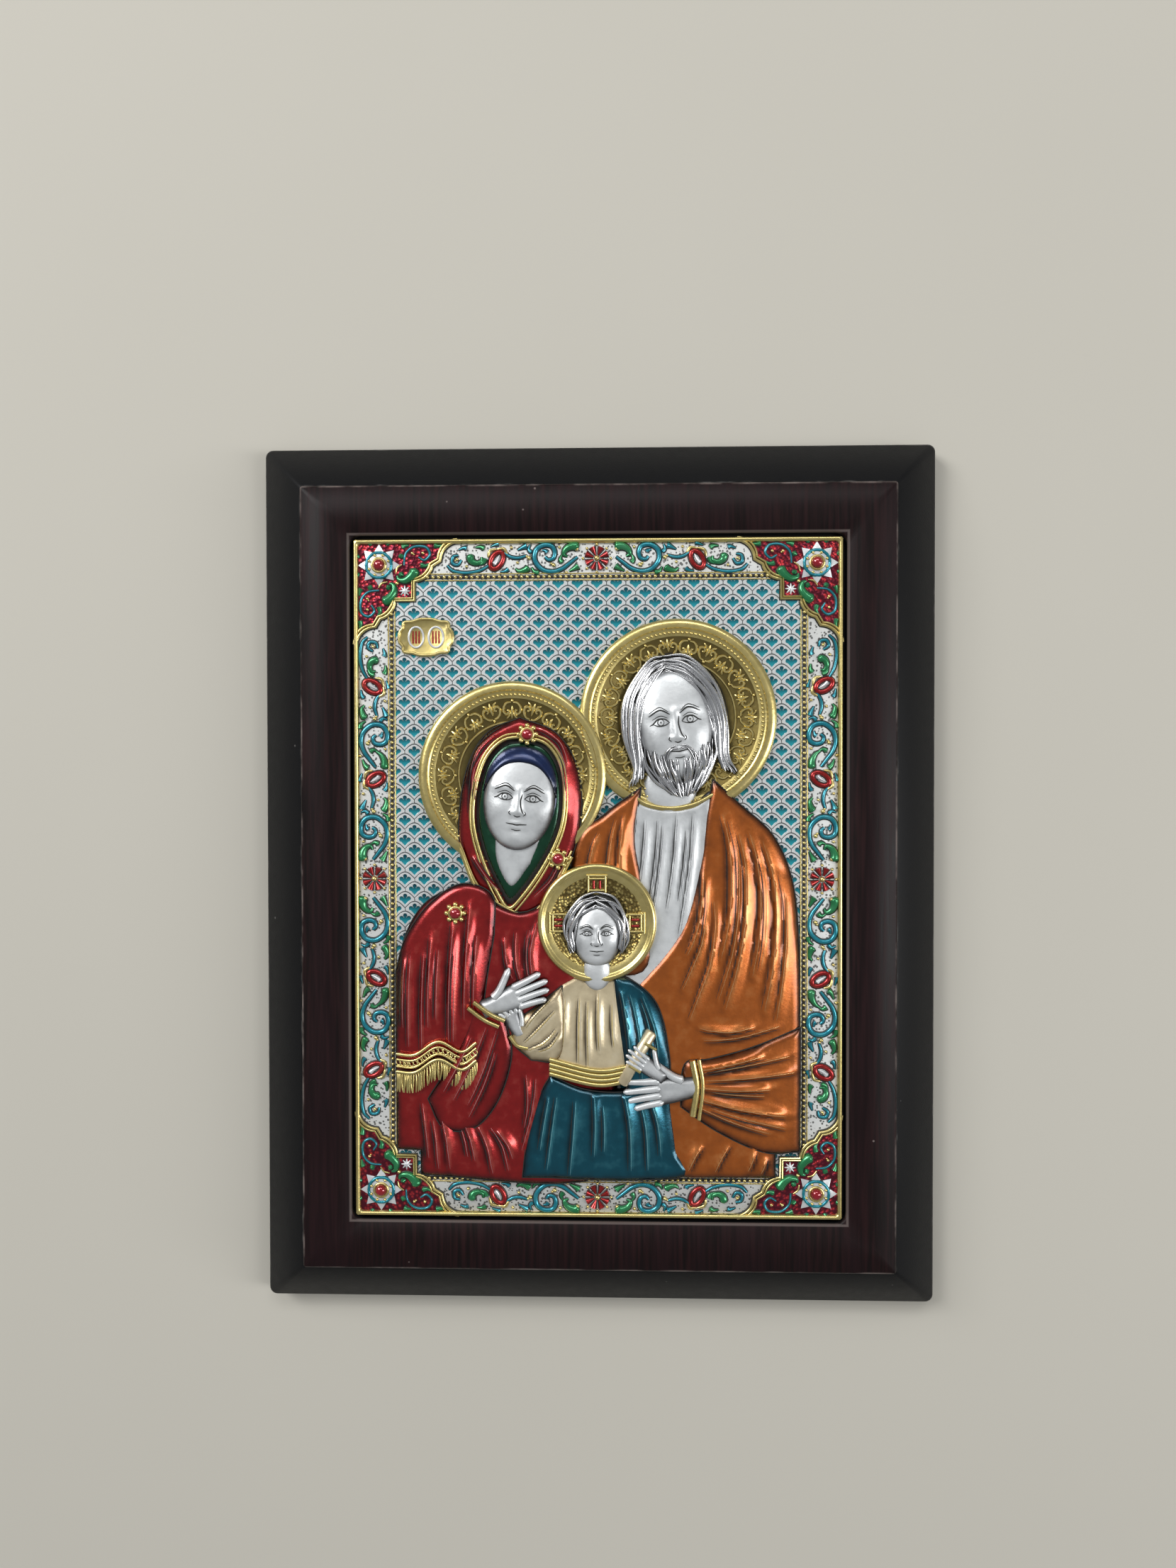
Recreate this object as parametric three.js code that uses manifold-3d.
// Icon panel: a bevelled wooden board, a struck relief plaque let into its face and glass stones on the plaque.
// Millimetres. The panel lies on its back: +X right, +Y to the picture's top, +Z out of the picture.
// The origin is the centre of the board's back.
import * as THREE from "three";
import { mergeVertices } from "three/addons/utils/BufferGeometryUtils.js";
import Module from "manifold-3d";

const wasm = await Module();
wasm.setup();

// Driving sizes of the board
const BOARD_WIDTH = 180;
const BOARD_HEIGHT = 230;
const BOARD_THICK = 18;
const BEVEL_RUN = 12.5;
const BEVEL_FOOT = 6;
const FACE_STEP = 1.6;
const FACE_MARGIN = 13;
const RECESS_DEPTH = 3;
const RECESS_RADIUS = 3;
const CORNER_RADIUS = 2;
const EASED_EDGE = 0.5;

// Driving sizes of the plaque
const FIT_GAP = 1;
const PLATE_CORNER = 0.8;
const PLATE_THICK = 2;
const RIM_WIDTH = 1.2;
const RIM_RISE = 1;
const BEAD_LINE = 9.9;
const BEAD_STRIP = 1.4;
const BEAD_RISE = 0.6;
const BEAD_START = 18.5;
const BORDER_MIDDLE = 5.2;
const MOULDING_WIDTH = 1.1;
const STONE_RADIUS = 1.5;
const STONE_RISE = 1.2;

// Sizes and heights worked out from them
const FACE_WIDTH = BOARD_WIDTH - 2 * BEVEL_RUN;
const FACE_HEIGHT = BOARD_HEIGHT - 2 * BEVEL_RUN;
const RECESS_WIDTH = FACE_WIDTH - 2 * FACE_MARGIN;
const RECESS_HEIGHT = FACE_HEIGHT - 2 * FACE_MARGIN;
const HALF_WIDTH = RECESS_WIDTH / 2 - FIT_GAP;
const HALF_HEIGHT = RECESS_HEIGHT / 2 - FIT_GAP;
const FLOOR = BOARD_THICK - RECESS_DEPTH;
const GROUND = FLOOR + PLATE_THICK;
const BURY = 0.6;

// A closed solid from a geometry, ready to be joined or cut.
function solid(geometry) {
  const bare = geometry.index ? geometry.toNonIndexed() : geometry.clone();
  bare.deleteAttribute("normal");
  bare.deleteAttribute("uv");
  const merged = mergeVertices(bare, 1e-4);
  const kept = [];
  for (let i = 0; i < merged.index.count; i += 3) {
    const corners = [0, 1, 2].map((k) => merged.index.getX(i + k));
    if (new Set(corners).size === 3) kept.push(...corners);
  }
  const vertProperties = merged.attributes.position.array;
  return new wasm.Manifold(new wasm.Mesh({ numProp: 3, vertProperties, triVerts: new Uint32Array(kept) }));
}

const joined = (solids) => solids.reduce((whole, piece) => whole.add(piece));

// A closed solid through a stack of like convex rings, flat at both ends.
function loft(rings) {
  const count = rings[0].length;
  const positions = rings.flat().flatMap((p) => [p.x, p.y, p.z]);
  const index = [];
  for (let k = 0; k + 1 < rings.length; k++) {
    for (let j = 0; j < count; j++) {
      const low = k * count + j;
      const lowNext = k * count + ((j + 1) % count);
      index.push(low, lowNext, lowNext + count, low, lowNext + count, low + count);
    }
  }
  const last = (rings.length - 1) * count;
  for (let j = 1; j + 1 < count; j++) {
    index.push(0, j + 1, j, last, last + j, last + j + 1);
  }
  const geometry = new THREE.BufferGeometry();
  geometry.setAttribute("position", new THREE.Float32BufferAttribute(positions, 3));
  geometry.setIndex(index);
  return solid(geometry);
}

// A rectangle with rounded corners, anticlockwise.
function roundedRectangle(width, height, radius, arcSteps) {
  const points = [];
  const corners = [[1, 1], [-1, 1], [-1, -1], [1, -1]];
  corners.forEach(([sx, sy], quarter) => {
    for (let i = 0; i <= arcSteps; i++) {
      const angle = (quarter + i / arcSteps) * (Math.PI / 2);
      const x = sx * (width / 2 - radius) + radius * Math.cos(angle);
      const y = sy * (height / 2 - radius) + radius * Math.sin(angle);
      points.push(new THREE.Vector2(x, y));
    }
  });
  return points;
}

const atHeight = (points, z) => points.map((p) => new THREE.Vector3(p.x, p.y, z));

// A flat shape raised from one height to another.
function raised(shape, low, high) {
  const geometry = new THREE.ExtrudeGeometry(shape, { depth: high - low, bevelEnabled: false });
  return solid(geometry.translate(0, 0, low));
}

const outline = (points) => new THREE.Shape(points.map(([x, y]) => new THREE.Vector2(x, y)));

// A flattened dome down to the ground, the rounded bulk that a figure's surface follows.
const BASE = GROUND - BURY;

function dome({ x, y, z, a, b, c, turn = 0 }, around = 10, up = 4) {
  const first = Math.asin(Math.max(0, (BASE - z) / c));
  const top = 1.45;
  const levels = [];
  for (let k = 0; k <= up; k++) {
    const angle = first + (top - first) * (k / up);
    levels.push([Math.cos(angle), z + c * Math.sin(angle)]);
  }
  if (z > BASE) levels.unshift([1, BASE]);
  const rings = levels.map(([reach, height]) => {
    const ring = [];
    for (let j = 0; j < around; j++) {
      const angle = (j / around) * 2 * Math.PI;
      const point = new THREE.Vector3(a * reach * Math.cos(angle), b * reach * Math.sin(angle), height);
      ring.push(point.applyAxisAngle(new THREE.Vector3(0, 0, 1), turn).add(new THREE.Vector3(x, y, 0)));
    }
    return ring;
  });
  return loft(rings);
}

function heightOn({ x, y, z, a, b, c }, px, py) {
  const inside = 1 - ((px - x) / a) ** 2 - ((py - y) / b) ** 2;
  return z + c * Math.sqrt(Math.max(inside, 0));
}

const even = (radius) => () => radius;
const leaf = (radius) => (t) => radius * (0.25 + 0.75 * Math.sin(Math.PI * t));

// A ridge along a smooth line of points, as wide at each place as radiusAt says, its root down at the ground.
function ridge(points, radiusAt, steps = 2, sides = 2) {
  const curve = new THREE.CatmullRomCurve3(points);
  const rings = [];
  for (let i = 0; i <= steps; i++) {
    const centre = curve.getPoint(i / steps);
    const along = curve.getTangent(i / steps);
    const across = new THREE.Vector3(-along.y, along.x, 0).setLength(radiusAt(i / steps));
    const left = centre.clone().sub(across).setZ(BASE);
    const right = centre.clone().add(across).setZ(BASE);
    const ring = [];
    for (let j = 0; j <= sides; j++) {
      const angle = (j / sides) * Math.PI;
      const point = centre.clone().addScaledVector(across, Math.cos(angle));
      ring.push(point.setZ(centre.z + across.length() * Math.sin(angle)));
    }
    rings.push([...ring, left, right]);
  }
  return loft(rings);
}

// Ridges that lie at a height or on a dome.
const onHeight = (points, z) => points.map(([x, y]) => new THREE.Vector3(x, y, z));
const onDome = (points, bulk, lift) =>
  points.map(([x, y]) => new THREE.Vector3(x, y, heightOn(bulk, x, y) + lift));

// A band of even width along a bent line.
function band(points, width) {
  const left = [];
  const right = [];
  points.forEach((p, i) => {
    const before = points[Math.max(i - 1, 0)];
    const after = points[Math.min(i + 1, points.length - 1)];
    const inward = p.clone().sub(before).normalize();
    const outward = after.clone().sub(p).normalize();
    const along = inward.clone().add(outward).normalize();
    const normal = new THREE.Vector2(-along.y, along.x);
    const straight = outward.lengthSq() > 0 ? outward : inward;
    const reach = width / 2 / Math.max(normal.dot(new THREE.Vector2(-straight.y, straight.x)), 0.5);
    left.push(p.clone().addScaledVector(normal, reach));
    right.unshift(p.clone().addScaledVector(normal, -reach));
  });
  return new THREE.Shape([...left, ...right]);
}

// Board: one piece of wood with a raised face, a mitred bevel round it and a recess for the plaque.
function board() {
  const foot = BOARD_THICK - FACE_STEP;
  const profile = [
    [EASED_EDGE, 0],
    [0, EASED_EDGE],
    [0, BEVEL_FOOT - EASED_EDGE],
    [EASED_EDGE, BEVEL_FOOT + EASED_EDGE],
    [BEVEL_RUN - 2 * EASED_EDGE, foot - EASED_EDGE],
    [BEVEL_RUN, foot],
    [BEVEL_RUN, BOARD_THICK - EASED_EDGE],
    [BEVEL_RUN + EASED_EDGE, BOARD_THICK],
  ];
  const rings = profile.map(([inset, z]) => {
    const width = BOARD_WIDTH - 2 * inset;
    const height = BOARD_HEIGHT - 2 * inset;
    return atHeight(roundedRectangle(width, height, CORNER_RADIUS, 2), z);
  });
  const mouth = new THREE.Shape(roundedRectangle(RECESS_WIDTH, RECESS_HEIGHT, RECESS_RADIUS, 4));
  return loft(rings).subtract(raised(mouth, FLOOR, BOARD_THICK + 1));
}

// Plate and rim: the plaque's flat back, its ground and the rolled rim round it.
const plateEdge = roundedRectangle(2 * HALF_WIDTH, 2 * HALF_HEIGHT, PLATE_CORNER, 2);
const plate = () => raised(new THREE.Shape(plateEdge), FLOOR, GROUND);

// Everything on the plaque is kept inside its edges and above its back.
const room = () => raised(new THREE.Shape(plateEdge), FLOOR, 2 * BOARD_THICK);

function rim() {
  const shape = new THREE.Shape(plateEdge);
  const innerWidth = 2 * (HALF_WIDTH - RIM_WIDTH);
  const innerHeight = 2 * (HALF_HEIGHT - RIM_WIDTH);
  shape.holes.push(new THREE.Path(roundedRectangle(innerWidth, innerHeight, PLATE_CORNER / 2, 1).reverse()));
  return raised(shape, BASE, GROUND + RIM_RISE);
}

// Beaded strips: the raised line between the border and the field, one strip a side.
function beadStrips() {
  const strips = [];
  for (const side of [-1, 1]) {
    const across = new THREE.BoxGeometry(2 * (HALF_WIDTH - BEAD_START), BEAD_STRIP, BEAD_RISE + BURY);
    const upright = new THREE.BoxGeometry(BEAD_STRIP, 2 * (HALF_HEIGHT - BEAD_START), BEAD_RISE + BURY);
    const middle = GROUND + (BEAD_RISE - BURY) / 2;
    strips.push(solid(across.translate(0, side * (HALF_HEIGHT - BEAD_LINE), middle)));
    strips.push(solid(upright.translate(side * (HALF_WIDTH - BEAD_LINE), 0, middle)));
  }
  return strips;
}

// Corner pieces: a stepped moulding across each corner and a star flower with a glass stone in it.
const BRACKET_REACH = 27.8;
const BRACKET_HOLLOW = 5.1;
const BRACKET_SHOULDER = 6;
const BRACKET_SWELL = 4.8;
const BRACKET_TIP = 15.9;
const STAR_PLACE = 6.7;
const STAR_POINTS = 8;
const STAR_REACH = 5.5;
const STAR_WAIST = 3.9;
const STAR_RISE = 0.5;
const COLLAR_REACH = 3.2;
const COLLAR_RISE = 0.9;

const inCorner = ([sx, sy]) => (a, b) => new THREE.Vector2(sx * (HALF_WIDTH - a), sy * (HALF_HEIGHT - b));
const CORNERS = { top_left: [-1, 1], top_right: [1, 1], bottom_left: [-1, -1], bottom_right: [1, -1] };

function bracketLine() {
  const half = [];
  const arcSteps = 2;
  for (let i = 0; i <= arcSteps; i++) {
    const angle = (i / arcSteps) * (Math.PI / 2);
    const along = BRACKET_REACH - BRACKET_HOLLOW * Math.sin(angle);
    half.push([along, RIM_WIDTH / 2 + BRACKET_HOLLOW * (1 - Math.cos(angle))]);
  }
  half.push([BRACKET_REACH - BRACKET_HOLLOW, BRACKET_SHOULDER]);
  for (let i = 0; i <= arcSteps; i++) {
    const angle = (i / arcSteps) * (Math.PI / 2);
    const along = BRACKET_TIP + BRACKET_SWELL * Math.cos(angle);
    half.push([along, BRACKET_SHOULDER + BRACKET_SWELL * Math.sin(angle)]);
  }
  const mirrored = half.map(([a, b]) => [b, a]).reverse();
  return [...half, [BRACKET_TIP, BRACKET_TIP], ...mirrored];
}

function cornerPiece(corner) {
  const place = inCorner(corner);
  const moulding = band(bracketLine().map(([a, b]) => place(a, b)), MOULDING_WIDTH);
  const star = [];
  for (let i = 0; i < 2 * STAR_POINTS; i++) {
    const reach = i % 2 ? STAR_WAIST : STAR_REACH;
    const angle = ((i + 1) / STAR_POINTS) * Math.PI;
    star.push(place(STAR_PLACE + reach * Math.cos(angle), STAR_PLACE + reach * Math.sin(angle)));
  }
  const centre = place(STAR_PLACE, STAR_PLACE);
  const collar = new THREE.CylinderGeometry(COLLAR_REACH - 0.4, COLLAR_REACH, COLLAR_RISE + BURY, 10);
  const middle = GROUND + (COLLAR_RISE - BURY) / 2;
  return [
    raised(moulding, BASE, GROUND + RIM_RISE),
    raised(new THREE.Shape(star), BASE, GROUND + STAR_RISE),
    solid(collar.rotateX(Math.PI / 2).translate(centre.x, centre.y, middle)),
  ];
}

// Border: a running vine with spirals and tulips from each middle rosette to the corners.
const UNIT_PITCH = 24.2;
const SPIRAL_AT = 13;
const SPIRAL_REACH = 3.5;
const TULIP_AT = 26;
const TULIP_LONG = 2.7;
const TULIP_WIDE = 1.6;
const TULIP_SIDES = 6;
const TULIP_RISE = 0.7;
const ROSETTE_POINTS = 8;
const ROSETTE_REACH = 3.5;
const ROSETTE_WAIST = 1.7;
const ROSETTE_RISE = 0.6;
const VINE_RADIUS = 0.5;
const VINE_RISE = -0.05;

// The spiral's line in the border's own places: along it from the rosette, and out from its middle line.
function spiralLine(flip) {
  const line = [[SPIRAL_AT - 8, 0.4 * flip]];
  const turns = 9;
  for (let i = 0; i <= turns; i++) {
    const angle = -0.35 * Math.PI + (i / turns) * 2.15 * Math.PI;
    const reach = SPIRAL_REACH * (1 - 0.62 * (i / turns));
    line.push([SPIRAL_AT - reach * Math.cos(angle), flip * reach * Math.sin(angle)]);
  }
  return line;
}

function borderHalf(place, units) {
  const pieces = [];
  for (let k = 0; k < units; k++) {
    const flip = k % 2 ? -1 : 1;
    const at = ([s, t]) => place(s + k * UNIT_PITCH, t);
    const vine = spiralLine(flip).map(at);
    pieces.push(ridge(onHeight(vine, GROUND + VINE_RISE), even(VINE_RADIUS), 6));
    const tulip = [];
    for (let i = 0; i < TULIP_SIDES; i++) {
      const angle = (i / TULIP_SIDES) * 2 * Math.PI;
      const long = TULIP_LONG * Math.cos(angle);
      const wide = TULIP_WIDE * Math.sin(angle);
      tulip.push(at([TULIP_AT + 0.8 * wide - 0.6 * long, flip * (0.6 * wide + 0.8 * long - 1)]));
    }
    pieces.push(raised(outline(tulip), BASE, GROUND + TULIP_RISE));
  }
  return pieces;
}

function rosette(x, y) {
  const points = [];
  for (let i = 0; i < 2 * ROSETTE_POINTS; i++) {
    const reach = i % 2 ? ROSETTE_WAIST : ROSETTE_REACH;
    const angle = (i / ROSETTE_POINTS) * Math.PI;
    points.push(new THREE.Vector2(x + reach * Math.cos(angle), y + reach * Math.sin(angle)));
  }
  return raised(new THREE.Shape(points), BASE, GROUND + ROSETTE_RISE);
}

function border() {
  const pieces = [];
  const across = HALF_WIDTH - BORDER_MIDDLE;
  const up = HALF_HEIGHT - BORDER_MIDDLE;
  for (const side of [-1, 1]) {
    for (const way of [-1, 1]) {
      pieces.push(...borderHalf((s, t) => [way * s, side * (up + t)], 1));
      pieces.push(...borderHalf((s, t) => [side * (across + t), way * s], 2));
    }
    pieces.push(rosette(0, side * up), rosette(side * across, 0));
  }
  return pieces;
}

// Cartouche: the small lobed plate in the field, its inscription left as plain strokes.
const CARTOUCHE = { x: -44.5, y: 63, wide: 7.6, high: 5, rise: 1 };

function cartouche() {
  const { x, y, wide, high, rise } = CARTOUCHE;
  const points = [];
  const count = 16;
  for (let i = 0; i < count; i++) {
    const angle = (i / count) * 2 * Math.PI;
    const lobe = 1 + 0.09 * Math.cos(4 * angle);
    points.push([x + wide * lobe * Math.cos(angle), y + high * lobe * Math.sin(angle)]);
  }
  const pieces = [raised(outline(points), BASE, GROUND + rise)];
  for (const dx of [-2.6, -1.4, 1.4, 2.6]) {
    const stroke = [[x + dx, y - high / 3], [x + dx, y + high / 3]];
    pieces.push(ridge(onHeight(stroke, GROUND + rise), even(0.35), 1));
  }
  return pieces;
}

// Halos: dished discs with a rounded rim, one behind each head.
function halo({ x, y, reach, rise, rimWide }, around) {
  const profile = [
    [0, BASE],
    [reach, BASE],
    [reach, rise],
    [reach - rimWide / 2, rise + 0.9],
    [reach - rimWide, rise],
    [0, rise],
  ].map(([r, z]) => new THREE.Vector2(r, z));
  const geometry = new THREE.LatheGeometry(profile, around);
  return solid(geometry.rotateX(Math.PI / 2).translate(x, y, 0));
}

// Figures: a bearded elder behind, a veiled woman beside him and a child in front of both, half length.
const FIELD = { side: HALF_WIDTH - 11, foot: -(HALF_HEIGHT - 11), cutX: 46.2, cutY: -71 };

const ELDER = {
  halo: { x: 21, y: 42, reach: 25.5, rise: 17.7, rimWide: 2.6 },
  bulk: { x: 27, y: -38, z: 12, a: 45, b: 84, c: 8.3 },
  face: { x: 20.3, y: 40, z: 17.6, a: 9.8, b: 14.6, c: 3.6, turn: 0.13 },
  hair: { x: 20.6, y: 40.5, z: 16.8, a: 13.6, b: 18, c: 3.4, turn: 0.13 },
};

const MOTHER = {
  halo: { x: -22, y: 27, reach: 24.5, rise: 18, rimWide: 2.5 },
  bulk: { x: -25, y: -36, z: 12, a: 46, b: 84, c: 8.8 },
  veil: { x: -20.5, y: 18, z: 14, a: 25, b: 36, c: 6.7 },
  face: { x: -20, y: 20.5, z: 18.3, a: 8.8, b: 12.2, c: 3.6, turn: -0.1 },
};

const CHILD = {
  halo: { x: 0, y: -11, reach: 15.4, rise: 20.6, rimWide: 1.6 },
  bulk: { x: 0, y: -52, z: 14, a: 32, b: 44, c: 7.6 },
  face: { x: 0, y: -14, z: 20.3, a: 6.5, b: 8.7, c: 2.8 },
  hair: { x: 0, y: -12.4, z: 19.6, a: 8.5, b: 9.6, c: 2.9 },
};

// Cloth cut to its outline, rounded over the figure's bulk, with raised folds along the given lines.
function cloth(points, bulk, lift, folds) {
  const shape = raised(outline(points), BASE, GROUND + 8);
  const body = shape.intersect(dome({ ...bulk, z: bulk.z + lift }, 12, 3));
  const ridges = folds.map(([radius, ...line]) => {
    const crest = onDome(line, bulk, lift - 0.15 * radius);
    return ridge(crest, leaf(radius));
  });
  return [body, ...ridges];
}

// A head's features in its own upright places, turned and set on the face's dome.
function onFace(face, points, lift) {
  const turn = face.turn ?? 0;
  return points.map(([u, v]) => {
    const x = face.x + face.a * u * Math.cos(turn) - face.b * v * Math.sin(turn);
    const y = face.y + face.a * u * Math.sin(turn) + face.b * v * Math.cos(turn);
    return new THREE.Vector3(x, y, face.z + face.c * Math.sqrt(Math.max(1 - u * u - v * v, 0)) + lift);
  });
}

function face(bulk) {
  const size = bulk.a / 10;
  const pieces = [dome(bulk)];
  const nose = onFace(bulk, [[0, 0.22], [0, 0], [0, -0.24]], 0);
  pieces.push(ridge(nose, (t) => size * (0.45 + 0.75 * t)));
  pieces.push(ridge(onFace(bulk, [[-0.28, -0.46], [0, -0.43], [0.28, -0.46]], -0.1), leaf(0.7 * size)));
  for (const side of [-1, 1]) {
    const eye = onFace(bulk, [[0.2 * side, 0.07], [0.4 * side, 0.08], [0.6 * side, 0.07]], -0.3);
    pieces.push(ridge(eye, leaf(0.95 * size)));
  }
  return pieces;
}

// Locks of hair in a fan between two guide lines, set on the head's dome.
function locks(head, first, last, count, radius) {
  const pieces = [];
  for (let i = 0; i < count; i++) {
    const share = i / (count - 1);
    const line = first.map(([u, v], k) => [u + (last[k][0] - u) * share, v + (last[k][1] - v) * share]);
    pieces.push(ridge(onFace(head, line, 0.1), leaf(radius), 3));
  }
  return pieces;
}

const mirror = (line) => line.map(([u, v]) => [-u, v]);

// A hand laid flat: a palm and five fingers, each finger a [turn, length] from the knuckles.
function hand({ x, y, z, turn, size, flip = 1 }, fingers) {
  const at = (u, v) => {
    const across = v * flip;
    const px = x + size * (u * Math.cos(turn) - across * Math.sin(turn));
    const py = y + size * (u * Math.sin(turn) + across * Math.cos(turn));
    return [px, py];
  };
  const palm = outline([[-2, -2.6], [7, -3.5], [9, -1], [8, 3], [-2, 2.6]].map(([u, v]) => at(u, v)));
  const pieces = [raised(palm, BASE, z)];
  fingers.forEach(([bend, length], i) => {
    const thumb = i === 0;
    const root = thumb ? [3, 2.6] : [7.4, 4.2 - 1.95 * i];
    const tip = [root[0] + length * Math.cos(bend), root[1] + length * Math.sin(bend)];
    const line = [at(...root), at(...tip)];
    pieces.push(ridge(onHeight(line, z - 0.5 * size), (t) => size * (1.25 - 0.3 * t), 1));
  });
  return pieces;
}

const OPEN_HAND = [[0.75, 6.5], [0.08, 8], [0, 9], [-0.06, 8.4], [-0.12, 6.8]];
const BLESSING_HAND = [[0.2, 4.5], [0.1, 8], [-0.05, 8.4], [-0.5, 3], [-0.7, 2.6]];

function elder() {
  const { bulk } = ELDER;
  const { side, foot, cutX, cutY } = FIELD;
  const tunic = [[9, 22], [18, 24], [30, 22], [26, -20], [4, -20]];
  const mantle = [
    [30, 26], [37, 19.5], [45.5, 11.5], [50.5, 0], [52.2, -16], [side, -40], [side, cutY],
    [cutX, cutY], [cutX, foot], [8, foot], [8, -30], [21, -14], [26.5, 4], [28, 16],
  ];
  const lapel = [[11.5, 24], [10, 10], [13, -8], [12, -24], [-8, -24], [-6, 8], [2, 17]];
  const sleeve = [
    [side, -38], [40, -43], [29, -46], [22.5, -47.5], [21.5, -58.5], [31, -65], [43, -70.5],
    [side, cutY + 0.4],
  ];
  const hem = [[30, -66], [44, -72], [cutX, -74], [cutX, foot], [22, foot]];
  const mantleFolds = [
    [1.3, [31, 22], [34, 6], [33, -14]],
    [1.1, [37, 17], [42, 2], [41, -16]],
    [1, [44, 10], [47.5, -4], [47.5, -22]],
    [1.2, [29, 2], [27, -14], [20, -28]],
    [1.1, [51, -32], [40, -33], [26, -42]],
  ];
  const sleeveFolds = [
    [1.2, [25, -49], [36, -47], [50, -43]],
    [1.1, [24, -53], [36, -53], [50, -52]],
    [1.1, [25, -57], [36, -59], [50, -62]],
  ];
  const hemFolds = [
    [1.4, [36, -74], [34, -68], [26, -62]],
    [1.2, [44, -75], [42, -71], [36, -66]],
  ];
  const neck = { x: 19, y: 22, z: 16, a: 8.5, b: 14, c: 3.4 };
  const curtain = [[-0.05, 1], [-0.62, 0.86], [-0.94, 0.3], [-0.9, -0.45], [-0.8, -0.85]];
  const fringe = [[0, 0.93], [-0.5, 0.72], [-0.72, 0.2], [-0.74, -0.3], [-0.7, -0.7]];
  const cheek = [[-0.95, -0.3], [-0.92, -0.7], [-0.66, -1.1]];
  const chin = [[-0.1, -0.62], [-0.06, -0.9], [0, -1.32]];
  return [
    halo(ELDER.halo, 20),
    ...cloth(tunic, bulk, -0.9, []),
    dome(neck),
    ...cloth(mantle, bulk, 0, mantleFolds),
    ...cloth(lapel, bulk, 0.1, []),
    ...cloth(sleeve, bulk, 1, sleeveFolds),
    ...cloth(hem, bulk, 0.3, hemFolds),
    ...hand({ x: 22, y: -53, z: 21.8, turn: Math.PI + 0.12, size: 1, flip: -1 }, OPEN_HAND),
    dome(ELDER.hair),
    ...face(ELDER.face),
    ...locks(ELDER.face, curtain, fringe, 2, 1.9),
    ...locks(ELDER.face, mirror(curtain), mirror(fringe), 2, 1.9),
    ...locks(ELDER.face, cheek, chin, 2, 1.9),
    ...locks(ELDER.face, mirror(cheek), mirror(chin), 2, 1.9),
  ];
}

function mother() {
  const { bulk, veil } = MOTHER;
  const { side, foot, cutX, cutY } = FIELD;
  const robe = [
    [-side, cutY], [-side, -32], [-50.5, -16], [-44, -5.5], [-34, 2], [-20, 6], [-8, 3], [2, -6],
    [7, -24], [5, -50], [2, foot], [-cutX, foot], [-cutX, cutY],
  ];
  const hood = [
    [-20, 42], [-10.5, 38], [-5, 29], [-4, 17], [-6.5, 6], [-13, -6], [-19, -10.5], [-30, -4],
    [-35.5, 8], [-35.5, 20], [-33, 31], [-28, 38.5],
  ];
  const drape = [
    [-side, -24], [-49.8, -15], [-43.5, -6.2], [-35, -1], [-27, -4], [-26.5, -14], [-29, -30],
    [-30, -46], [-35, -49], [-41, -46.5], [-47, -50], [-side, -50],
  ];
  const sleeve = [[-44, -58], [-36, -44], [-31, -31.5], [-24, -35], [-22, -45], [-26, -58], [-36, -66]];
  const hoodFolds = [
    [1, [-15, 40], [-8.5, 33], [-6, 20]],
    [1, [-27, 37], [-32, 26], [-32, 12]],
    [0.9, [-32, 8], [-28, -1], [-20, -8]],
  ];
  const robeFolds = [
    [1.1, [-12, -8], [-6, -24], [-8, -44]],
    [1.2, [-20, -46], [-16, -60], [-18, -76]],
    [1.2, [-32, -64], [-26, -70], [-24, -76]],
    [1.1, [-40, -60], [-36, -68], [-36, -76]],
  ];
  const drapeFolds = [
    [1.2, [-46, -10], [-49, -26], [-49.5, -46]],
    [1.2, [-41, -5], [-43.5, -24], [-43, -44]],
    [1.2, [-36, -3], [-38, -24], [-37, -45]],
  ];
  const sleeveFolds = [
    [1, [-40, -56], [-34, -46], [-29, -35]],
    [1, [-33, -61], [-29, -50], [-26, -38]],
  ];
  const neck = { x: -18.5, y: 3, z: 17.2, a: 6.6, b: 12, c: 3.6 };
  const opening = [[-0.12, 1.22], [-0.82, 0.98], [-1.16, 0.2], [-1.06, -0.6], [-0.5, -1.5], [0, -2.1]];
  const hemLine = { ...MOTHER.face, z: 19.6, c: 1.2 };
  return [
    halo(MOTHER.halo, 20),
    ...cloth(robe, bulk, 0, robeFolds),
    ...cloth(drape, bulk, 0.7, drapeFolds),
    ...cloth(sleeve, bulk, 1, sleeveFolds),
    ...hand({ x: -26.5, y: -32.5, z: 22, turn: 0.4, size: 0.95 }, OPEN_HAND),
    ...cloth(hood, veil, 0, hoodFolds),
    dome(neck),
    ...[opening, mirror(opening)].map((line) => ridge(onFace(hemLine, line, 0), even(0.75), 6)),
    ...face(MOTHER.face),
  ];
}

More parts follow.
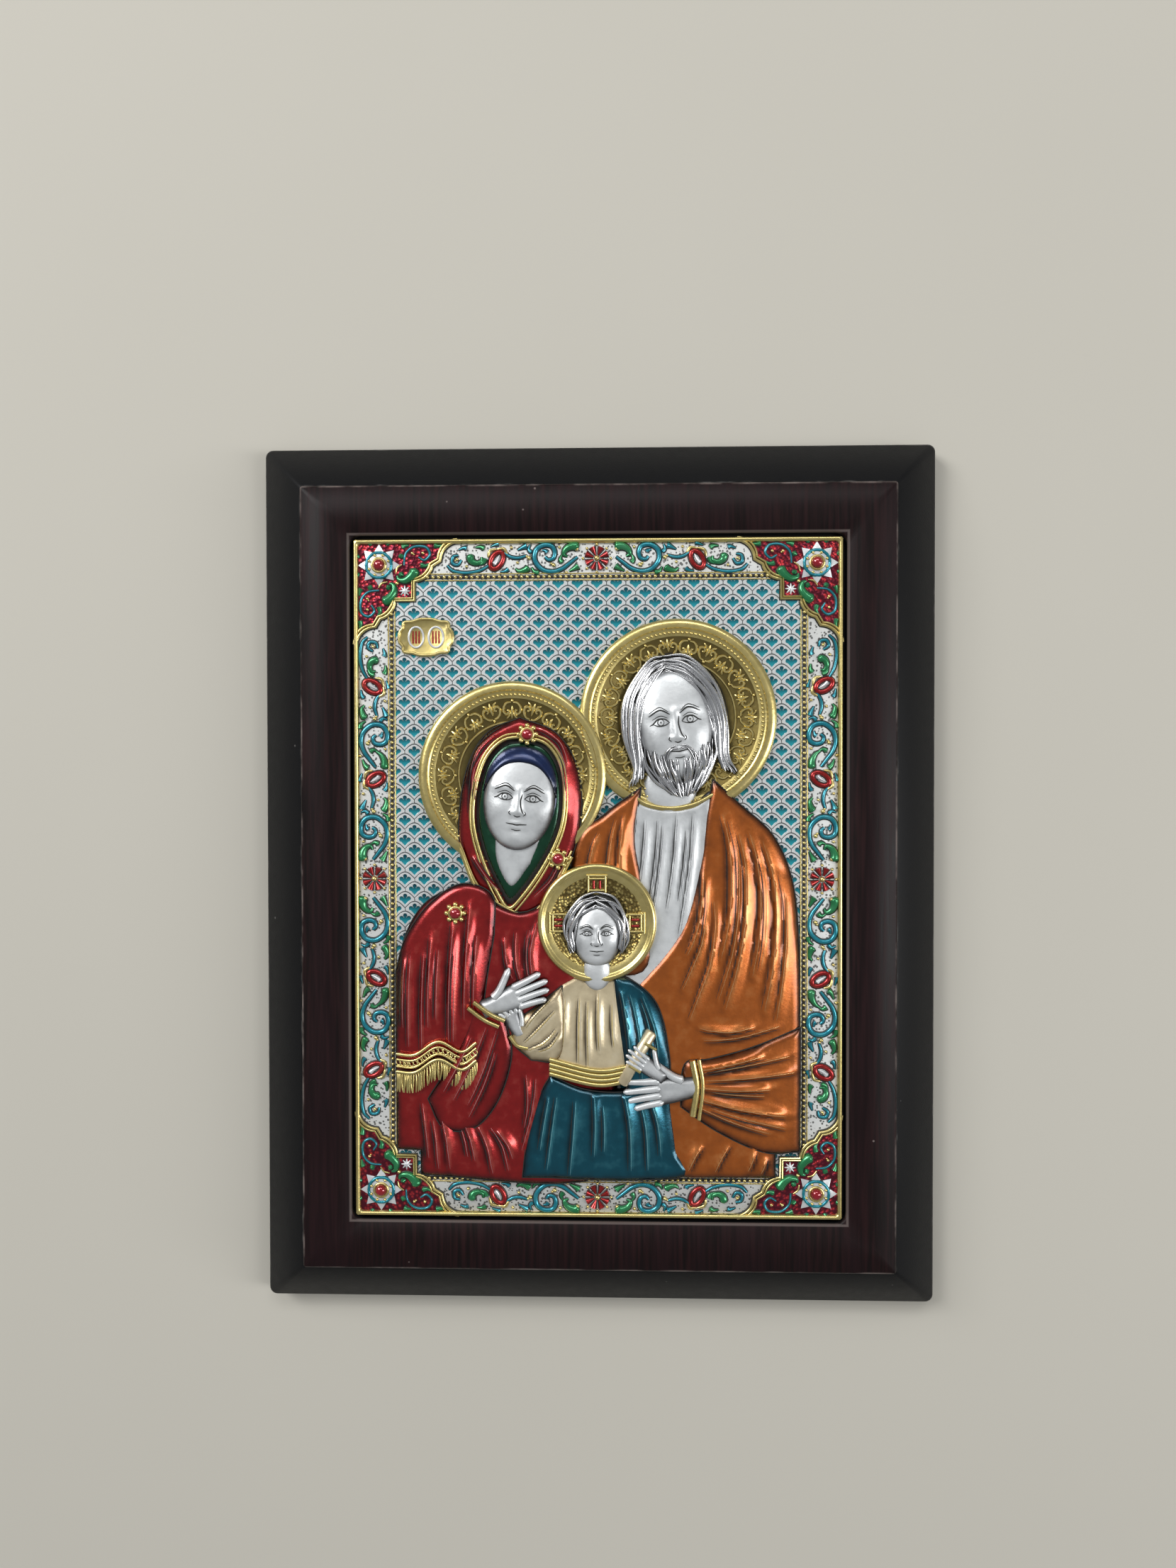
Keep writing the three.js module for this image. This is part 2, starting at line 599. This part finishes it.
function child() {
  const { bulk } = CHILD;
  const { foot } = FIELD;
  const tunic = [
    [-5, -24.5], [-10.5, -28], [-13.5, -35], [-12, -44], [-11, -51], [10, -51], [12, -38],
    [11, -28], [5, -24.5],
  ];
  const sleeve = [
    [-9, -27.2], [-15.5, -32.5], [-20, -36], [-22, -41.5], [-17, -46.5], [-10, -46.5], [-8, -38],
  ];
  const shawl = [
    [4, -24.4], [10, -26.5], [15.5, -32], [18.2, -42], [18, -52], [8, -55.5], [6.5, -44], [5, -33],
  ];
  const lap = [
    [-12, -50.5], [-3, -54], [8, -54.5], [17.5, -51.5], [19.5, -62], [20.5, -70], [20.5, foot],
    [-19.5, foot], [-18, -66], [-15, -56],
  ];
  const lapFolds = [
    [1.1, [-10, -53], [-5, -63], [-6, -76]],
    [1.1, [0, -56], [3, -65], [1, -76]],
    [1.1, [10, -56], [11, -66], [8, -76]],
    [1, [-15, -58], [-13, -67], [-14, -76]],
  ];
  const shawlFolds = [[1, [7, -27], [10.5, -38], [12, -52]], [0.9, [12, -30], [15, -40], [15.5, -50]]];
  const tunicFolds = [[0.8, [-5, -30], [-5.5, -38], [-6, -46]]];
  const sash = [[-12.3, -45.8], [0, -48.8], [10.8, -47.5], [11, -52], [0, -53.2], [-12, -51]];
  const neck = { x: 0, y: -23.5, z: 19, a: 4.2, b: 6, c: 2.6 };
  const curls = [[-0.05, 1], [-0.72, 0.86], [-1.12, 0.25], [-1.1, -0.35], [-0.9, -0.7]];
  const fringe = [[0, 0.85], [-0.45, 0.66], [-0.82, 0.3], [-0.9, -0.1], [-0.86, -0.45]];
  const pieces = [
    halo(CHILD.halo, 18),
    ...cloth(tunic, bulk, -0.3, tunicFolds),
    ...cloth(sleeve, bulk, 0.3, [[0.8, [-11, -31], [-14, -37], [-17, -43]]]),
    ...cloth(sash, bulk, 0.4, []),
    ...cloth(lap, bulk, 0.3, lapFolds),
    ...cloth(shawl, bulk, 0.5, shawlFolds),
    ...hand({ x: -20.5, y: -38.5, z: 21.6, turn: 2.0, size: 0.62, flip: -1 }, BLESSING_HAND),
    ridge(onHeight([[6.5, -52], [14, -39]], 22), even(1.7), 1, 4),
    ...hand({ x: 15.5, y: -49.5, z: 23, turn: 2.5, size: 0.6, flip: -1 }, OPEN_HAND),
    dome(neck),
    dome(CHILD.hair),
    ...face(CHILD.face),
    ...locks(CHILD.face, curls, fringe, 2, 1.3),
    ...locks(CHILD.face, mirror(curls), mirror(fringe), 2, 1.3),
  ];
  const { x, y, reach, rise } = CHILD.halo;
  for (const angle of [0, Math.PI / 2, Math.PI]) {
    const bar = new THREE.BoxGeometry(5, 4.4, 2).translate(reach - 3.6, 0, rise - 0.6);
    pieces.push(solid(bar.rotateZ(angle).translate(x, y, 0)));
  }
  return pieces;
}

// Brooches: three round settings on the veil, each with a stone.
const BROOCHES = {
  brow: { x: -17.9, y: 37.6, z: 20.2 },
  left: { x: -36.5, y: -8.5, z: 21 },
  right: { x: -10, y: 5.5, z: 20.2 },
};
const BROOCH_REACH = 3;
const BROOCH_RISE = 0.6;

function brooch({ x, y, z }) {
  const top = z + BROOCH_RISE;
  const setting = new THREE.CylinderGeometry(BROOCH_REACH - 0.6, BROOCH_REACH, top - BASE, 10);
  return solid(setting.rotateX(Math.PI / 2).translate(x, y, (top + BASE) / 2));
}

// Stones: faceted red glass, flat at the back, bedded on their collars.
function stone(x, y, seat) {
  const profile = [
    [0, 0],
    [STONE_RADIUS, 0],
    [STONE_RADIUS, 0.3],
    [0.55 * STONE_RADIUS, STONE_RISE],
    [0, STONE_RISE],
  ].map(([r, z]) => new THREE.Vector2(r, z));
  const geometry = new THREE.LatheGeometry(profile, 8);
  return solid(geometry.rotateX(Math.PI / 2).translate(x, y, seat));
}

function mesh(name, made, material) {
  const { vertProperties, triVerts } = made.getMesh();
  const geometry = new THREE.BufferGeometry();
  geometry.setAttribute("position", new THREE.BufferAttribute(vertProperties, 3));
  geometry.setIndex(new THREE.BufferAttribute(triVerts, 1));
  geometry.computeVertexNormals();
  const node = new THREE.Mesh(geometry, material);
  node.name = name;
  return node;
}

const stainedWood = new THREE.MeshStandardMaterial({ color: 0x241012, roughness: 0.5, metalness: 0 });
const silver = new THREE.MeshStandardMaterial({ color: 0xc8c8c4, roughness: 0.35, metalness: 1 });
const redGlass = new THREE.MeshStandardMaterial({ color: 0xb80a14, roughness: 0.08, metalness: 0 });

const plaque = joined([
  plate(),
  rim(),
  ...beadStrips(),
  ...Object.values(CORNERS).flatMap(cornerPiece),
  ...border(),
  ...cartouche(),
  ...elder(),
  ...mother(),
  ...child(),
  ...Object.values(BROOCHES).map(brooch),
]).intersect(room());

const icon = new THREE.Group();
icon.add(mesh("board", board(), stainedWood));
icon.add(mesh("relief_plaque", plaque, silver));
for (const [name, corner] of Object.entries(CORNERS)) {
  const { x, y } = inCorner(corner)(STAR_PLACE, STAR_PLACE);
  icon.add(mesh(`stone_${name}`, stone(x, y, GROUND + COLLAR_RISE), redGlass));
}
for (const [name, { x, y, z }] of Object.entries(BROOCHES)) {
  icon.add(mesh(`stone_brooch_${name}`, stone(x, y, z + BROOCH_RISE), redGlass));
}

export default icon;
